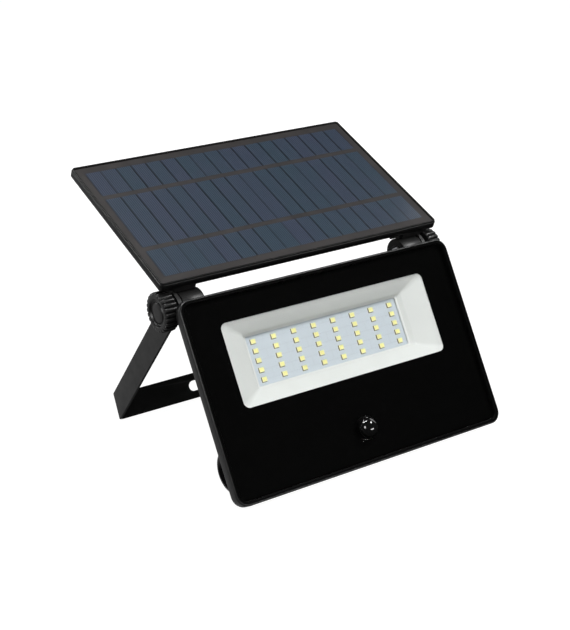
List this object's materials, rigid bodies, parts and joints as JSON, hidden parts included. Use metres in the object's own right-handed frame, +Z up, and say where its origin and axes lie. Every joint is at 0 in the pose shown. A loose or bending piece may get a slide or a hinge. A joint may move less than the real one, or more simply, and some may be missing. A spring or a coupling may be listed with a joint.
{
  "type": "solar flood light",
  "caption": "Flood lamp with a hinged solar panel and clamp knobs on one hinge line, a motion sensor under its window, and a slotted U-bracket that props or mounts it.",
  "frame": {"origin": "middle of the bounding box, on the ground that the lamp's lower rear edge and the bracket's crossbar stand on", "axes": "+Z up, +X to the right along the hinge line, -Y the way the lamp faces"},
  "size_m": [0.2406, 0.2125, 0.1911],
  "materials": {
    "black_paint": "black moulded housing, satin",
    "black_plastic": "black plastic, satin",
    "knob_plastic": "black plastic, fine texture",
    "gloss_black": "black, glossy",
    "black_steel": "black powder coat on steel",
    "glass_black": "tempered glass, printed black round a clear window",
    "white_plastic": "white, satin",
    "board_white": "white solder mask with yellow LED packages",
    "board_green": "green circuit board",
    "cell_blue": "dark blue silicon under a clear layer",
    "cell_wrap": "battery cell in a blue sleeve",
    "steel": "zinc plated",
    "rubber": "black, matt"
  },
  "bodies": {
    "bracket": {"u_bracket": "black_steel"},
    "lamp": {"housing": "black_paint", "rear_cover": "black_plastic", "front_glass": "glass_black", "glass_gasket": "rubber", "reflector": "white_plastic", "led_board": "board_white", "sensor_collar": "gloss_black", "sensor_dome": "gloss_black", "sensor_can": "steel", "sensor_board": "board_green", "control_board": "board_green", "battery_tube": "black_plastic", "battery_cell_1": "cell_wrap", "battery_cell_2": "cell_wrap", "battery_cell_3": "cell_wrap", "battery_cap_left": "gloss_black", "battery_cap_right": "gloss_black", "battery_seal_left": "rubber", "battery_seal_right": "rubber", "battery_contact_left": "steel", "battery_contact_right": "steel", "tube_clamp_left": "steel", "tube_clamp_right": "steel", "cover_screw_1": "steel", "cover_screw_2": "steel", "cover_screw_3": "steel", "cover_screw_4": "steel", "cover_screw_5": "steel", "cover_screw_6": "steel", "vent_plug": "rubber", "switch_collar": "black_plastic", "switch_body": "board_green", "hinge_nut_left": "steel", "hinge_nut_right": "steel", "hinge_washer_left": "rubber", "hinge_washer_right": "rubber"},
    "panel": {"panel_frame": "black_plastic", "pv_laminate": "cell_blue", "panel_back": "black_plastic", "junction_box": "black_plastic", "cable_gland": "rubber", "lug_left": "black_plastic", "lug_right": "black_plastic", "lug_screw_left_1": "steel", "lug_screw_left_2": "steel", "lug_screw_right_1": "steel", "lug_screw_right_2": "steel"},
    "left_knob": {"knob_left": "knob_plastic", "hinge_bolt_left": "steel"},
    "right_knob": {"knob_right": "knob_plastic", "hinge_bolt_right": "steel"},
    "switch": {"switch_button": "rubber"}
  },
  "joints": [
    {"name": "lamp_tilt", "type": "hinge", "parent": "bracket", "child": "lamp", "pos_m": [0, -0.01413, 0.11554], "axis": [1, 0, 0], "range_deg": [-30, 70]},
    {"name": "panel_tilt", "type": "hinge", "parent": "lamp", "child": "panel", "pos_m": [0, -0.01413, 0.11554], "axis": [1, 0, 0], "range_deg": [-40, 30]},
    {"name": "left_knob_turn", "type": "hinge", "parent": "lamp", "child": "left_knob", "pos_m": [-0.1146, -0.01413, 0.11554], "axis": [1, 0, 0], "continuous": true},
    {"name": "right_knob_turn", "type": "hinge", "parent": "lamp", "child": "right_knob", "pos_m": [0.1146, -0.01413, 0.11554], "axis": [1, 0, 0], "continuous": true},
    {"name": "switch_press", "type": "slide", "parent": "lamp", "child": "switch", "axis": [0, -0.866, 0.5], "range_m": [0, 0.0012], "stiffness_N_per_m": 1200, "springref_m": -0.0004}
  ]
}
